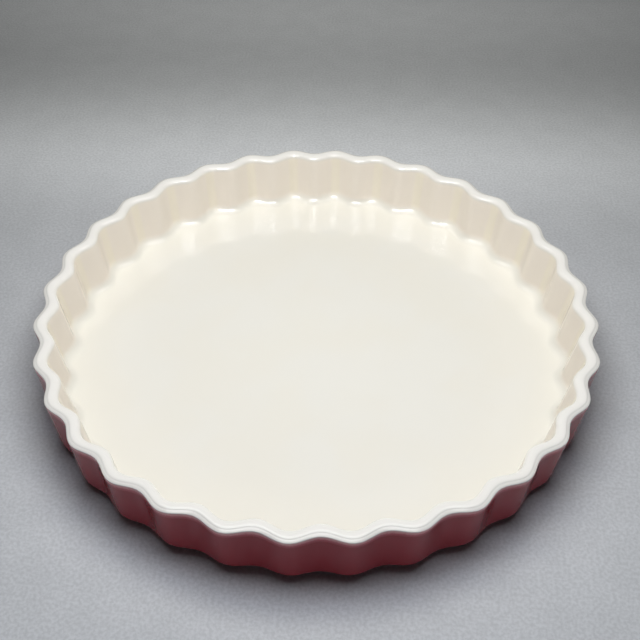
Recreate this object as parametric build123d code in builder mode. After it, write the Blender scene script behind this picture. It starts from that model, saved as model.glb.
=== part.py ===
from build123d import *
from math import atan2, cos, pi, radians, sin
import os

# A round, fluted quiche dish in glazed stoneware. Lengths are in millimetres.
# The origin is on the table under the centre of the dish, +Z is up, and a crest of the flutes is on +X.
# Radii are the mean of the crests and the valleys. A wave is half the depth of a flute.

# The outside, glaze included
dish_height = 35.0
rim_radius = 140.0          # outer wall at the top of the rim
rim_wave = 1.94
wall_flare = 2.5            # how far the wall leans inward from there down to its lower edge
base_wave = 1.25
base_round = 4.0            # rounding where the wall turns under
edge_height = 3.0           # the wall's lower edge, above the table

# The hollow, glaze included
floor_thickness = 4.4
rim_thickness = 6.65        # wall at the top of the rim, before its edges are rounded
foot_of_wall = 8.2          # wall at the floor, before the cove
hollow_rim_wave = 2.07
hollow_floor_wave = 2.2
cove_radius = 5.8           # hollow rounding between the wall and the floor
cove_wave = 1.7             # what is left of the flutes where the cove meets the floor
rim_outer_round = 2.6
rim_inner_round = 2.8

# The round base under the floor, with the bare ring that the dish stands on
stand_height = 1.0          # how far the ring reaches below the glazed underside
stand_inset = 12.5          # from the foot of the outer wall to the base's side
stand_width = 5.0
stand_round = 1.0

# The glaze. Ivory meets burgundy where the rim's outer rounding leaves the wall
glaze_thickness = 0.5

# The flutes, and how finely the roundings are drawn
flute_count = 32
rounding_step = radians(27)      # the turn from one ring to the next along a rounding
rounding_share = 0.48       # a rim rounding is never more than this share of the wall that it is on

base_radius = rim_radius - wall_flare
floor_height = stand_height + floor_thickness
stand_outer_radius = base_radius - stand_inset
stand_inner_radius = stand_outer_radius - stand_width
outer_round = min(rim_outer_round, rounding_share * rim_thickness)
inner_round = min(rim_inner_round, rounding_share * rim_thickness)

# Each side of the wall is straight in section, from a low to a high (height, radius, wave)
outer_side = (
    (edge_height, base_radius, base_wave),
    (dish_height, rim_radius, rim_wave),
)
hollow_side = (
    (floor_height, base_radius - foot_of_wall, hollow_floor_wave),
    (dish_height, rim_radius - rim_thickness, hollow_rim_wave),
)


def lean(side):
    """How far a side leans outward, in radians."""
    (low_height, low_radius, _), (high_height, high_radius, _) = side
    return atan2(high_radius - low_radius, high_height - low_height)


def wave_at(side, height):
    """The wave of a side at a height."""
    (low_height, _, low_wave), (high_height, _, high_wave) = side
    return low_wave + (height - low_height) / (high_height - low_height) * (high_wave - low_wave)


def radius_at(side, height, outward):
    """The radius of a side at a height, moved outward square to the side."""
    (low_height, low_radius, _), (high_height, high_radius, _) = side
    rise = (height - low_height) / (high_height - low_height)
    return low_radius + rise * (high_radius - low_radius) + outward / cos(lean(side))


def rounding(centre_radius, centre_height, radius, start, end):
    """Points in section along an arc, as (radius, height), from one angle to another."""
    steps = max(1, round(abs(end - start) / rounding_step))
    angles = [start + (end - start) * step / steps for step in range(steps + 1)]
    return [(centre_radius + radius * cos(angle), centre_height + radius * sin(angle)) for angle in angles]


def cove_rings(depth):
    """The cove from the floor up to the wall, depth being how far below the glazed surface it lies."""
    radius = cove_radius + depth
    centre_height = floor_height - depth + radius
    centre_radius = radius_at(hollow_side, centre_height, depth - radius)
    arc = rounding(centre_radius, centre_height, radius, -pi / 2, -lean(hollow_side))
    full_wave = wave_at(hollow_side, centre_height)
    gain = (full_wave - cove_wave) / (len(arc) - 1)
    return [(at, height, cove_wave + gain * step) for step, (at, height) in enumerate(arc)]


def rim_inner_rings(depth):
    """The rim's inner rounding, from the wall up to the flat of the rim."""
    radius = inner_round - depth
    centre_height = dish_height - depth - radius
    centre_radius = radius_at(hollow_side, centre_height, depth + radius)
    arc = rounding(centre_radius, centre_height, radius, pi - lean(hollow_side), pi / 2)
    return [(at, height, wave_at(hollow_side, height)) for at, height in arc]


def rim_outer_rings(depth):
    """The rim's outer rounding, from the flat of the rim down to the wall."""
    radius = outer_round - depth
    centre_height = dish_height - depth - radius
    centre_radius = radius_at(outer_side, centre_height, -depth - radius)
    arc = rounding(centre_radius, centre_height, radius, pi / 2, -lean(outer_side))
    return [(at, height, wave_at(outer_side, height)) for at, height in arc]


def base_rings(depth):
    """The rounding where the outer wall turns under, from the wall to its lower edge."""
    radius = base_round - depth
    centre_height = edge_height + depth + radius
    centre_radius = radius_at(outer_side, centre_height, -depth - radius)
    arc = rounding(centre_radius, centre_height, radius, -lean(outer_side), -pi / 2)
    return [(at, height, wave_at(outer_side, height)) for at, height in arc]


def ivory_rings(depth):
    """From the floor, up the hollow and over the rim to the glaze line."""
    return cove_rings(depth) + rim_inner_rings(depth) + rim_outer_rings(depth)


def burgundy_rings(depth):
    """From the glaze line, down the outer wall to its lower edge."""
    return rim_outer_rings(depth)[-1:] + base_rings(depth)


def point_at(radius, turn):
    """A point at a radius and an angle around the dish."""
    return radius * cos(turn), radius * sin(turn)


def one_flute(radius, wave):
    """Two arcs that meet on the mean radius: a crest across +X, then a valley."""
    half_crest = pi / flute_count / 2
    with BuildLine() as flute:
        ThreePointArc(
            point_at(radius, -half_crest),
            point_at(radius + wave, 0),
            point_at(radius, half_crest),
        )
        ThreePointArc(
            point_at(radius, half_crest),
            point_at(radius - wave, 2 * half_crest),
            point_at(radius, 3 * half_crest),
        )
    return flute.line


def fluted_bowl(rings):
    """A closed solid through a chain of rings, with a flat disc across the first and the last."""
    with BuildPart() as bowl:
        for radius, height, wave in rings:
            flute = one_flute(radius, wave)
            with BuildSketch(Plane.XY.offset(height)):
                with BuildLine():
                    with PolarLocations(0, flute_count):
                        add(flute)
                make_face()
        loft(ruled=True)
    return bowl.part


def round_plate(radius, low, high):
    """A flat, round plate between two heights."""
    with BuildPart() as plate:
        with BuildSketch(Plane.XY.offset(low)):
            Circle(radius)
        extrude(amount=high - low)
    return plate.part


os.makedirs("parts", exist_ok=True)

# The fired clay, in one casting: the floor, the fluted wall and the base with its bare ring
base_plate = round_plate(stand_outer_radius, 0, edge_height + glaze_thickness)
clay_surface = ivory_rings(glaze_thickness) + base_rings(glaze_thickness)
with BuildPart() as stoneware_body:
    add(base_plate)
    add(round_plate(stand_inner_radius, 0, stand_height + glaze_thickness), mode=Mode.SUBTRACT)
    fillet(stoneware_body.edges().group_by(Axis.Z)[0], stand_round)
    add(fluted_bowl(clay_surface))
stoneware_body.part.label = "stoneware_body"
export_step(stoneware_body.part, "parts/stoneware_body.step")

# The off-white coat: the whole of the inside, and over the rim to the glaze line
with BuildPart() as ivory_glaze:
    add(fluted_bowl(ivory_rings(0) + ivory_rings(glaze_thickness)[::-1]))
ivory_glaze.part.label = "ivory_glaze"
export_step(ivory_glaze.part, "parts/ivory_glaze.step")

# The dark red coat outside, from the glaze line down and under the edge as far as the base
with BuildPart() as burgundy_wall_glaze:
    add(fluted_bowl(burgundy_rings(glaze_thickness)[::-1] + burgundy_rings(0)))
    add(base_plate, mode=Mode.SUBTRACT)
burgundy_wall_glaze.part.label = "burgundy_wall_glaze"
export_step(burgundy_wall_glaze.part, "parts/burgundy_wall_glaze.step")

# The dark red coat of the underside, within the bare ring
with BuildPart() as burgundy_base_glaze:
    add(round_plate(stand_inner_radius, stand_height, stand_height + glaze_thickness))
burgundy_base_glaze.part.label = "burgundy_base_glaze"
export_step(burgundy_base_glaze.part, "parts/burgundy_base_glaze.step")
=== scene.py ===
from math import atan2, cos, pi, radians, sin, tan

import bpy
from mathutils import Matrix, Vector, noise


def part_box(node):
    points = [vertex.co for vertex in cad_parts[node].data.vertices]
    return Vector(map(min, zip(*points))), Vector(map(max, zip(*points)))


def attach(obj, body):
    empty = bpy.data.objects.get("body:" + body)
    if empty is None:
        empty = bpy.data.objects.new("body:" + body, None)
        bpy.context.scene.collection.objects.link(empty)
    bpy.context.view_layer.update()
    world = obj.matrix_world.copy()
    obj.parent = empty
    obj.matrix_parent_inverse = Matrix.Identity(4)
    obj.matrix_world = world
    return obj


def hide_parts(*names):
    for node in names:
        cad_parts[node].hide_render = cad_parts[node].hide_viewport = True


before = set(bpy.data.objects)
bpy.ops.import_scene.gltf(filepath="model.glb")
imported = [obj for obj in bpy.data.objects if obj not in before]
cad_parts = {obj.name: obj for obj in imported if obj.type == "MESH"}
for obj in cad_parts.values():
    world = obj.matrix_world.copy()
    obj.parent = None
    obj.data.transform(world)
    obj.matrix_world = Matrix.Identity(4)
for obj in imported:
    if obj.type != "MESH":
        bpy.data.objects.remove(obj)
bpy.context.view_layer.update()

# A round, fluted quiche dish in glazed stoneware: finer meshes for its three coats of glaze,
# their finish, and the studio of the photograph.

# Sizes of the dish, in metres. Radii are the mean of the crests and the valleys, and a wave is
# half the depth of a flute
dish_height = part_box("ivory_glaze")[1].z
edge_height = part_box("burgundy_wall_glaze")[0].z        # the outer wall's lower edge
recess_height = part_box("burgundy_base_glaze")[0].z      # the glazed underside, within the bare ring
glaze_thickness = 0.0005
floor_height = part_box("ivory_glaze")[0].z + glaze_thickness
rim_radius = 0.140
rim_wave = 0.00194
base_radius = 0.1375
base_wave = 0.00125
base_round = 0.004
rim_thickness = 0.00665
foot_of_wall = 0.0082
hollow_rim_wave = 0.00207
hollow_floor_wave = 0.0022
cove_radius = 0.0058
cove_wave = 0.0017
rim_outer_round = 0.0026
rim_inner_round = 0.0028
stand_outer_radius = 0.125
stand_inner_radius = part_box("burgundy_base_glaze")[1].x
flute_count = 32

# The rim's crown in section:
# (place outward from the hollow in metres, how far the glaze tilts outward in degrees)
rim_tilts = (
    (0.00012, -78), (0.00025, -62), (0.00055, -46), (0.0011, -30), (0.0018, -18), (0.0026, -9),
    (0.0032, -4), (0.0037, 0), (0.0042, 11), (0.0046, 20), (0.00478, 34), (0.0049, 36),
    (0.00505, 22), (0.0052, 17), (0.0055, 20), (0.0058, 25), (0.0061, 29), (0.0063, 32),
    (0.00641, 38), (0.00648, 52), (0.00653, 78),
)

backing_depth = 0.9 * glaze_thickness       # each coat's back, just outside the clay
cast_wobble = 0.00012                       # how far the casting wanders from its true shape
wobble_length = 0.055

# How finely the meshes are drawn
steps_per_flute = 20
steps_per_tilt = 4
surface_steps = 8           # along each rounding of the glazed surface
backing_steps = 4           # along each rounding of a coat's back
base_steps = 12             # from the middle of the underside to the bare ring
sharp_fold = radians(50)    # an edge that folds by more than this isn't smoothed

# Each side of the wall is straight in section, from a low to a high (height, radius, wave)
outer_side = (
    (edge_height, base_radius, base_wave),
    (dish_height, rim_radius, rim_wave),
)
hollow_side = (
    (floor_height, base_radius - foot_of_wall, hollow_floor_wave),
    (dish_height, rim_radius - rim_thickness, hollow_rim_wave),
)


def lean(side):
    """How far a side leans outward, in radians."""
    (low_height, low_radius, _), (high_height, high_radius, _) = side
    return atan2(high_radius - low_radius, high_height - low_height)


def side_ring(side, height, outward):
    """The ring (radius, height, wave) of a side at a height, moved outward square to the side."""
    (low_height, low_radius, low_wave), (high_height, high_radius, high_wave) = side
    rise = (height - low_height) / (high_height - low_height)
    radius = low_radius + rise * (high_radius - low_radius) + outward / cos(lean(side))
    return radius, height, low_wave + rise * (high_wave - low_wave)


def arc_rings(side, centre_height, outward, radius, start, end, steps):
    """Rings around a rounding of a side, from one angle in section to another."""
    centre_radius = side_ring(side, centre_height, outward)[0]
    rings = []
    for step in range(steps + 1):
        angle = start + (end - start) * step / steps
        height = centre_height + radius * sin(angle)
        wave = side_ring(side, height, 0)[2]
        rings.append((centre_radius + radius * cos(angle), height, wave))
    return rings


def between(first, last, steps):
    """What lies strictly between two rings, or two places, evenly spaced."""
    return [
        tuple(a + (b - a) * step / steps for a, b in zip(first, last))
        for step in range(1, steps)
    ]


def cove(depth, steps):
    """The cove from the floor up to the wall, this deep below the glazed surface."""
    radius = cove_radius + depth
    centre = floor_height - depth + radius
    start, end = -pi / 2, -lean(hollow_side)
    rings = arc_rings(hollow_side, centre, depth - radius, radius, start, end, steps)
    full_wave = rings[-1][2]
    gain = (full_wave - cove_wave) / steps
    return [(at, height, cove_wave + gain * step) for step, (at, height, _) in enumerate(rings)]


def rim_inner(depth, steps):
    """The rim's inner rounding, from the wall up to the top of the rim."""
    radius = rim_inner_round - depth
    centre = dish_height - depth - radius
    start, end = pi - lean(hollow_side), pi / 2
    return arc_rings(hollow_side, centre, depth + radius, radius, start, end, steps)


def rim_outer(depth, steps):
    """The rim's outer rounding, from the top of the rim down to the wall."""
    radius = rim_outer_round - depth
    centre = dish_height - depth - radius
    start, end = pi / 2, -lean(outer_side)
    return arc_rings(outer_side, centre, -depth - radius, radius, start, end, steps)


def base_turn(depth, steps):
    """The rounding where the outer wall turns under."""
    radius = base_round - depth
    centre = edge_height + depth + radius
    start, end = -lean(outer_side), -pi / 2
    return arc_rings(outer_side, centre, -depth - radius, radius, start, end, steps)


def rim_section():
    """The glazed rim in section, from the hollow over the crest to the outer wall."""
    tilts = ((0.0, rim_tilts[0][1]),) + rim_tilts
    places = []
    for first, last in zip(tilts, tilts[1:]):
        places += between(first, last, steps_per_tilt) + [last]
    drops = [0.0]
    for (place, tilt), (next_place, next_tilt) in zip(places, places[1:]):
        drops.append(drops[-1] + (next_place - place) * tan(radians((tilt + next_tilt) / 2)))
    rings = []
    for (place, _), drop in zip(places, drops):
        height = dish_height - (drop - min(drops))
        inside, outside = side_ring(hollow_side, height, 0), side_ring(outer_side, height, 0)
        share = place / rim_thickness
        rings.append(tuple(near + (far - near) * share for near, far in zip(inside, outside)))
    return rings


def ivory_chain(depth, steps):
    """From the middle of the floor, up the hollow and over the rim to its outer corner."""
    low, inner, outer = cove(depth, steps), rim_inner(depth, steps), rim_outer(depth, steps)
    middle = (0.0, low[0][1], 0.0)
    floor = between(middle, low[0], 2 * steps)
    wall = between(low[-1], inner[0], steps)
    rim = inner + outer
    if depth == 0:
        rim = inner[:1] + rim_section() + outer[-1:]
    return [middle] + floor + low + wall + rim


def burgundy_chain(depth, steps):
    """From the rim's outer corner, down the outer wall and under it as far as the bare ring."""
    corner, turn = rim_outer(depth, steps)[-1], base_turn(depth, steps)
    stop = (stand_outer_radius, turn[-1][1], 0.0)
    wall = between(corner, turn[0], steps)
    return [corner] + wall + turn + between(turn[-1], stop, steps // 2) + [stop]


def wander(place):
    """How far the casting wanders at a place: never outward, so it stays in its box."""
    return -cast_wobble * (0.5 + 0.5 * noise.noise(Vector(place) / wobble_length))


def ring_points(ring):
    """The points of one ring, with a crest on +X."""
    radius, height, wave = ring
    if radius == 0:
        return [(0.0, 0.0, height)]
    count = flute_count * steps_per_flute
    points = []
    for step in range(count):
        turn = 2 * pi * step / count
        reach = radius + wave * cos(flute_count * turn)
        reach += wander((reach * cos(turn), reach * sin(turn), height))
        points.append((reach * cos(turn), reach * sin(turn), height))
    return points


def skin(name, rings, closes):
    """A closed mesh through a chain of rings, which ends on the axis or closes on itself."""
    points, starts = [], []
    for ring in rings:
        starts.append(len(points))
        points += ring_points(ring)
    count = flute_count * steps_per_flute
    pairs = list(zip(range(len(rings)), range(1, len(rings))))
    if closes:
        pairs.append((len(rings) - 1, 0))
    faces = []
    for low, high in pairs:
        for step in range(count):
            after = (step + 1) % count
            if rings[low][0] == 0:
                faces.append((starts[low], starts[high] + after, starts[high] + step))
            elif rings[high][0] == 0:
                faces.append((starts[low] + step, starts[low] + after, starts[high]))
            else:
                faces.append((
                    starts[low] + step,
                    starts[low] + after,
                    starts[high] + after,
                    starts[high] + step,
                ))
    mesh = bpy.data.meshes.new(name)
    mesh.from_pydata(points, [], faces)
    mesh.validate()
    mesh.shade_smooth()
    mesh.set_sharp_from_angle(angle=sharp_fold)
    piece = bpy.data.objects.new(name, mesh)
    bpy.context.collection.objects.link(piece)
    return piece


# The colours of the glaze
ivory = (0.892, 0.857, 0.785, 1)
ivory_cloud = (0.892, 0.864, 0.805, 1)
# The floor darkens towards the wall: painted shade
ivory_painted_shade_near_wall = (0.846, 0.817, 0.748, 1)           # the dish's floor towards the wall
# The inner wall is warmer than the floor: painted warm light bounced off the floor
ivory_wall_painted_bounce = (0.935, 0.856, 0.762, 1)           # the inner wall
ivory_hollow = (0.945, 0.868, 0.735, 1)         # the inner wall in the hollow of a flute
# The rim is whiter: painted light, for the direct light and highlights it catches
ivory_rim_painted_light = (0.92, 0.89, 0.85, 1)
burgundy = (0.385, 0.028, 0.042, 1)
burgundy_thin = (0.66, 0.14, 0.175, 1)          # just below the glaze line
# Paler where the wall turns under: a painted reflection
burgundy_painted_low_reflection = (0.42, 0.075, 0.095, 1)          # where the wall turns under
line_pink = (0.98, 0.46, 0.48, 1)

# Where they change, each from none of the change to all of it, in metres
glaze_line = dish_height - 0.0021
line_drift = 0.0009                         # how far the line wanders
to_wall_from_floor = (floor_height + 0.001, floor_height + 0.005)
to_wall_from_rim = (dish_height - 0.0005, dish_height - 0.004)
to_rim = (dish_height - 0.0028, dish_height - 0.0012)
to_foot_of_wall = (rim_radius - 0.040, rim_radius - 0.014)      # out from the dish's axis
to_painted_low_reflection = (edge_height + 0.0042, edge_height + 0.0018)
to_thin = (-0.0034, -0.0008)                # up from the glaze line, as the next two
to_pink = (-0.0014, 0.0)
to_ivory = (0.0002, 0.0011)

# The share of a noise, or of a flute's cosine, over which a colour changes
noise_span = (0.3, 0.7)
cloud_span = (0.35, 0.65)
grit_span = (0.55, 0.75)
hollow_span = (0.62, 0.98)

# The bare clay
clay_buff = (0.56, 0.45, 0.33, 1)
clay_pale = (0.66, 0.56, 0.44, 1)
clay_grit = (0.36, 0.26, 0.18, 1)

# The studio's floor and what is behind it
backdrop_grey = (0.27, 0.275, 0.29, 1)
surround_grey = (0.0097, 0.0098, 0.01, 1)       # what the surround lights the dish with
floor_reach = 6.0
floor_fades = (0.5, 0.85)                       # from the dish, where the floor becomes backdrop
# The floor's painted tint of the light: cooler in front, more neutral at the back
front_painted_light_tint = (0.975, 0.995, 1.045, 1)
back_painted_light_tint = (0.985, 1.0, 1.02, 1)
tint_changes = (0.05, 0.30)                     # towards the back
grain_contrast = 0.08
patch_contrast = 0.02
# Painted light and shade on the floor, paler and darker from front to back: (place in metres, tone)
floor_painted_light_bands = (
    (-0.30, 0.59), (-0.12, 0.607), (-0.06, 0.545), (0.0, 0.495), (0.06, 0.54), (0.12, 0.505),
    (0.18, 0.825), (0.25, 0.60), (0.31, 0.555), (0.36, 0.715), (0.42, 1.0), (0.60, 1.0),
)
band_direction = (-0.0734, 0.9973, 0.0)


def add_node(material, kind, inputs=None, **settings):
    """A shader node with its settings, and its inputs as values or as other nodes' outputs."""
    node = material.node_tree.nodes.new(kind)
    for key, value in settings.items():
        setattr(node, key, value)
    for socket, value in (inputs or {}).items():
        if isinstance(value, bpy.types.NodeSocket):
            material.node_tree.links.new(value, node.inputs[socket])
        else:
            node.inputs[socket].default_value = value
    return node


def new_material(name):
    """A material, its Principled shader and the place of each point on the piece."""
    material = bpy.data.materials.new(name)
    material.use_nodes = True
    shader = material.node_tree.nodes["Principled BSDF"]
    place = add_node(material, "ShaderNodeTexCoord").outputs["Object"]
    return material, shader, place


def noise_at(material, place, size, detail=2.0):
    """Noise from 0 to 1 whose lumps are about this size in metres."""
    node = add_node(
        material, "ShaderNodeTexNoise", {"Vector": place, "Scale": 1 / size, "Detail": detail},
    )
    return node.outputs["Fac"]


def spread(material, value, low, high, out_low=0.0, out_high=1.0):
    """Maps a value from one range to another, and stops at its ends."""
    node = add_node(
        material, "ShaderNodeMapRange",
        {"Value": value, "From Min": low, "From Max": high, "To Min": out_low, "To Max": out_high},
        interpolation_type="SMOOTHSTEP",
    )
    return node.outputs["Result"]


def mix(material, factor, first, second, blend="MIX"):
    """A colour between two colours, or one blended over the other."""
    node = add_node(
        material, "ShaderNodeMix", {"Factor": factor, 6: first, 7: second},
        data_type="RGBA", blend_type=blend,
    )
    return node.outputs[2]


def maths(material, operation, *values):
    """One sum on one, two or three values."""
    node = add_node(material, "ShaderNodeMath", dict(enumerate(values)), operation=operation)
    return node.outputs["Value"]


def add_bump(material, shader, height, strength, distance):
    """Lets a height, from 0 to 1, stand this far out of the shader's surface in metres."""
    bump = add_node(
        material, "ShaderNodeBump", {"Height": height, "Strength": strength, "Distance": distance},
    )
    material.node_tree.links.new(bump.outputs["Normal"], shader.inputs["Normal"])


def line_drifts(material, place, size, detail=2.0):
    """How far the glaze line has wandered up or down, in lumps of about this size."""
    lumps = noise_at(material, place, size, detail)
    return maths(material, "MULTIPLY_ADD", lumps, line_drift, -line_drift / 2)


def glaze_colour(material, place, lines_hollow):
    """Ivory above the glaze line and burgundy below it, with a soft, ragged, pinkish border."""
    parted = add_node(material, "ShaderNodeSeparateXYZ", {"Vector": place}).outputs
    height = parted["Z"]
    across = add_node(material, "ShaderNodeCombineXYZ", {"X": parted["X"], "Y": parted["Y"]})
    reach = add_node(
        material, "ShaderNodeVectorMath", {0: across.outputs["Vector"]}, operation="LENGTH",
    )
    from_axis = reach.outputs["Value"]

    # The dish's floor has faint clouds and painted shade towards the wall. The inner wall is warmer,
    # painted warm light bounced off the floor, with a warm stripe in each flute
    cloud = spread(material, noise_at(material, place, size=0.04), *cloud_span)
    near_wall = spread(material, from_axis, *to_foot_of_wall)
    on_floor = mix(material, near_wall, mix(material, cloud, ivory, ivory_cloud), ivory_painted_shade_near_wall)
    turn = maths(material, "ARCTAN2", parted["Y"], parted["X"])
    flute = maths(material, "COSINE", maths(material, "MULTIPLY", turn, flute_count))
    on_wall = mix(material, spread(material, flute, *hollow_span), ivory_wall_painted_bounce, ivory_hollow)
    off_floor = spread(material, height, *to_wall_from_floor)
    off_rim = spread(material, height, *to_wall_from_rim)
    pale = mix(material, maths(material, "MULTIPLY", off_floor, off_rim), on_floor, on_wall)
    # Whiter on the rim: painted light
    pale = mix(material, spread(material, height, *to_rim), pale, ivory_rim_painted_light)

    # The burgundy is paler where it thins out towards the line. It is also paler low down, where the
    # wall turns under: a painted reflection
    ragged = line_drifts(material, place, size=0.0011, detail=4.0)
    lazy = line_drifts(material, place, size=0.012)
    above = maths(material, "SUBTRACT", height, glaze_line)
    above = maths(material, "ADD", above, maths(material, "ADD", ragged, lazy))
    red = mix(material, spread(material, above, *to_thin), burgundy, burgundy_thin)
    red = mix(material, spread(material, height, *to_painted_low_reflection), red, burgundy_painted_low_reflection)
    border = mix(material, spread(material, above, *to_pink), red, line_pink)

    is_ivory = spread(material, above, *to_ivory)
    if lines_hollow:
        hollow = maths(material, "LESS_THAN", from_axis, rim_radius - rim_thickness / 2)
        is_ivory = maths(material, "MAXIMUM", is_ivory, hollow)
    return mix(material, is_ivory, border, pale)


def glaze_material(name, lines_hollow, roughness, peel, refraction):
    """A fired glaze: both colours with their line, a gloss in soft smears, a slight unevenness."""
    material, shader, place = new_material(name)
    colour = glaze_colour(material, place, lines_hollow)
    material.node_tree.links.new(colour, shader.inputs["Base Color"])
    smear = noise_at(material, place, size=0.03, detail=3.0)
    rough = spread(material, smear, *noise_span, roughness * 0.8, roughness * 1.25)
    material.node_tree.links.new(rough, shader.inputs["Roughness"])
    shader.inputs["IOR"].default_value = refraction
    lumps = noise_at(material, place, size=0.007)
    add_bump(material, shader, lumps, strength=peel, distance=0.0002)
    return material


def clay_material():
    """Bare fired clay: warm buff, matt and slightly gritty."""
    material, shader, place = new_material("bare_clay")
    cloud = spread(material, noise_at(material, place, size=0.015, detail=4.0), *noise_span)
    grit = spread(material, noise_at(material, place, size=0.0006), *grit_span)
    speckled = mix(material, grit, mix(material, cloud, clay_buff, clay_pale), clay_grit)
    material.node_tree.links.new(speckled, shader.inputs["Base Color"])
    shader.inputs["Roughness"].default_value = 0.85
    sand = noise_at(material, place, size=0.0004, detail=3.0)
    add_bump(material, shader, sand, strength=0.35, distance=0.0002)
    return material


def floor_material():
    """The grey surface under the dish: a fine felted grain, and painted bands of light and shade
    across, with a painted tint of the light from front to back.
    """
    material, shader, place = new_material("studio_floor")
    depth = add_node(
        material, "ShaderNodeVectorMath", {0: place, 1: band_direction}, operation="DOT_PRODUCT",
    ).outputs["Value"]
    nearest, furthest = floor_painted_light_bands[0][0], floor_painted_light_bands[-1][0]
    along = add_node(
        material, "ShaderNodeMapRange", {"Value": depth, "From Min": nearest, "From Max": furthest},
    )
    ramp = add_node(material, "ShaderNodeValToRGB", {"Fac": along.outputs["Result"]})
    ramp.color_ramp.interpolation = "B_SPLINE"
    stops = ramp.color_ramp.elements
    for at, _ in floor_painted_light_bands[1:-1]:
        stops.new((at - nearest) / (furthest - nearest))
    for stop, (_, tone) in zip(stops, floor_painted_light_bands):
        stop.color = (tone, tone, tone, 1)
    tint = mix(material, spread(material, depth, *tint_changes), front_painted_light_tint, back_painted_light_tint)
    tinted = mix(material, 1.0, ramp.outputs["Color"], tint, blend="MULTIPLY")
    grain = spread(
        material, noise_at(material, place, size=0.0015, detail=3.0), *noise_span,
        1 - grain_contrast, 1 + grain_contrast,
    )
    patch = spread(
        material, noise_at(material, place, size=0.02, detail=4.0), *noise_span,
        1 - patch_contrast, 1 + patch_contrast,
    )
    both = maths(material, "MULTIPLY", grain, patch)
    shade = add_node(
        material, "ShaderNodeVectorMath", {0: tinted, "Scale": both}, operation="SCALE",
    )
    material.node_tree.links.new(shade.outputs["Vector"], shader.inputs["Base Color"])
    shader.inputs["Roughness"].default_value = 0.85
    shader.inputs["Specular IOR Level"].default_value = 0.0
    add_bump(material, shader, grain, strength=0.3, distance=0.0004)

    # Far from the dish the camera sees the floor run out into an even grey
    from_dish = add_node(material, "ShaderNodeVectorMath", {0: place}, operation="LENGTH")
    far = spread(material, from_dish.outputs["Value"], *floor_fades)
    seen = add_node(material, "ShaderNodeLightPath").outputs["Is Camera Ray"]
    share = maths(material, "MULTIPLY", far, seen)
    grey = add_node(material, "ShaderNodeEmission", {"Color": backdrop_grey, "Strength": 1.0})
    blend = add_node(
        material, "ShaderNodeMixShader",
        {0: share, 1: shader.outputs["BSDF"], 2: grey.outputs["Emission"]},
    )
    surface = material.node_tree.nodes["Material Output"].inputs["Surface"]
    material.node_tree.links.new(blend.outputs["Shader"], surface)
    return material


# The glazed pieces: each is the glazed surface, closed by its back just outside the clay
ivory_finish = glaze_material(
    "ivory_glaze_finish", lines_hollow=True, roughness=0.03, peel=0.05, refraction=1.52,
)
burgundy_finish = glaze_material(
    "burgundy_glaze_finish", lines_hollow=False, roughness=0.16, peel=0.12, refraction=1.4,
)

ivory_front = ivory_chain(0, surface_steps)
ivory_back = ivory_chain(backing_depth, backing_steps)[::-1]
ivory_piece = skin("ivory_glaze_coat", ivory_front + ivory_back, closes=False)
ivory_piece.data.materials.append(ivory_finish)
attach(ivory_piece, "root")
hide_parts("ivory_glaze")

wall_front = burgundy_chain(0, surface_steps)
wall_back = burgundy_chain(backing_depth, backing_steps)[::-1]
wall_piece = skin("burgundy_wall_coat", wall_front + wall_back, closes=True)
wall_piece.data.materials.append(burgundy_finish)
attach(wall_piece, "root")
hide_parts("burgundy_wall_glaze")

top_of_base = recess_height + backing_depth
base_middle = (0.0, recess_height, 0.0)
base_edge = (stand_inner_radius, recess_height, 0.0)
base_front = [base_middle] + between(base_middle, base_edge, base_steps) + [base_edge]
base_back = [(stand_inner_radius, top_of_base, 0.0), (0.0, top_of_base, 0.0)]
base_piece = skin("burgundy_base_coat", base_front + base_back, closes=False)
base_piece.data.materials.append(burgundy_finish)
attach(base_piece, "root")
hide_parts("burgundy_base_glaze")

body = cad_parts["stoneware_body"]
body.data.materials.clear()
body.data.materials.append(clay_material())

# The studio: a floor with painted bands of light and shade, soft lights overhead and in front, and an
# even grey surround
floor_mesh = bpy.data.meshes.new("studio_floor")
corners = [
    (x * floor_reach, y * floor_reach, 0.0)
    for x, y in ((-1, -1), (1, -1), (1, 1), (-1, 1))
]
floor_mesh.from_pydata(corners, [], [(0, 1, 2, 3)])
floor = bpy.data.objects.new("studio_floor", floor_mesh)
bpy.context.collection.objects.link(floor)
floor_mesh.materials.append(floor_material())

# The surround lights the dish only faintly, and the camera sees it as an even grey
world = bpy.data.worlds.new("studio")
world.use_nodes = True
surround = world.node_tree.nodes["Background"]
surround.inputs["Color"].default_value = surround_grey
backdrop = add_node(world, "ShaderNodeBackground", {"Color": backdrop_grey})
seen = add_node(world, "ShaderNodeLightPath").outputs["Is Camera Ray"]
either = add_node(
    world, "ShaderNodeMixShader",
    {0: seen, 1: surround.outputs["Background"], 2: backdrop.outputs["Background"]},
)
world_surface = world.node_tree.nodes["World Output"].inputs["Surface"]
world.node_tree.links.new(either.outputs["Shader"], world_surface)
bpy.context.scene.world = world


def soft_light(name, place, aim, width, depth, watts, colour):
    """A rectangular soft box that faces a point."""
    lamp = bpy.data.lights.new(name, "AREA")
    lamp.shape = "RECTANGLE"
    lamp.size, lamp.size_y = width, depth
    lamp.energy = watts
    lamp.color = colour
    box = bpy.data.objects.new(name, lamp)
    bpy.context.collection.objects.link(box)
    box.location = place
    box.rotation_euler = (Vector(aim) - Vector(place)).to_track_quat("-Z", "Y").to_euler()
    return box


# Two panels overhead light the dish, and a dim one far in front fills its shadow
front_panel = soft_light(
    "overhead_front", place=(0.0, -0.0825, 0.42), aim=(0.0, -0.0825, 0.0),
    width=0.34, depth=0.165, watts=1.02, colour=(0.96, 1.0, 1.06),
)
back_panel = soft_light(
    "overhead_back", place=(0.0, 0.065, 0.42), aim=(0.0, 0.065, 0.0),
    width=0.34, depth=0.13, watts=0.95, colour=(1.0, 0.99, 0.91),
)
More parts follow.
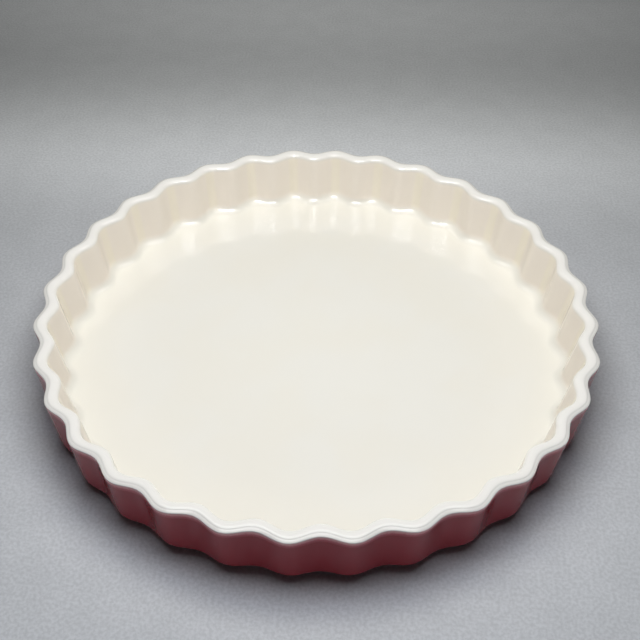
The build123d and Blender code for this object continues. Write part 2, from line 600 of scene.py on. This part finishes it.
# In place of the two overhead, which would glare in it, the glaze mirrors a larger, dimmer panel.
# It hangs a little lower, because they would hide it
front_panel.visible_glossy = False
back_panel.visible_glossy = False
mirrored_panel = soft_light(
    "mirrored_panel", place=(0.0, -0.116, 0.405), aim=(0.0, -0.116, 0.0),
    width=0.33, depth=0.4875, watts=1.5, colour=(0.98, 1.0, 1.0),
)
mirrored_panel.visible_diffuse = False
# It also mirrors a window behind the photographer, as streaks on the back wall and the floor
mirrored_window = soft_light(
    "mirrored_window", place=(0.0, -0.224, 0.505), aim=(0.0, 0.128, 0.02),
    width=0.5, depth=0.09, watts=0.37, colour=(0.97, 1.0, 1.03),
)
mirrored_window.data.spread = radians(50)
mirrored_window.visible_diffuse = False
soft_light(
    "front_fill", place=(0.0, -1.3, 0.45), aim=(0.0, 0.0, 0.0),
    width=1.2, depth=0.5, watts=0.45, colour=(1.0, 0.985, 0.985),
)

# The camera, at the photograph's place. The turn brings a crest of the flutes onto +X
focal_pixels = 945.3
picture_pixels = 640
camera_back = 0.3539
camera_height = 0.3606
valley_angle = 0.02016      # of the valley nearest to +X before that turn
aside = 0.0045              # how far to the right of the dish's axis the photograph looks
flute_turn = pi / flute_count - valley_angle
heading = aside - flute_turn
pitch = radians(-43.595)
roll = radians(0.9216)
forward = Vector((sin(heading) * cos(pitch), cos(heading) * cos(pitch), sin(pitch)))
level = Vector((cos(heading), -sin(heading), 0.0))
upright = level.cross(forward)
right = level * cos(roll) + upright * sin(roll)
up = upright * cos(roll) - level * sin(roll)
lens = bpy.data.cameras.new("camera")
lens.sensor_width = 36.0
lens.lens = focal_pixels / picture_pixels * lens.sensor_width
camera = bpy.data.objects.new("camera", lens)
bpy.context.collection.objects.link(camera)
place = Vector((camera_back * sin(flute_turn), -camera_back * cos(flute_turn), camera_height))
turn = Matrix((right, up, -forward)).transposed().to_4x4()
camera.matrix_world = Matrix.Translation(place) @ turn
bpy.context.scene.camera = camera
bpy.context.scene.view_settings.view_transform = "Standard"
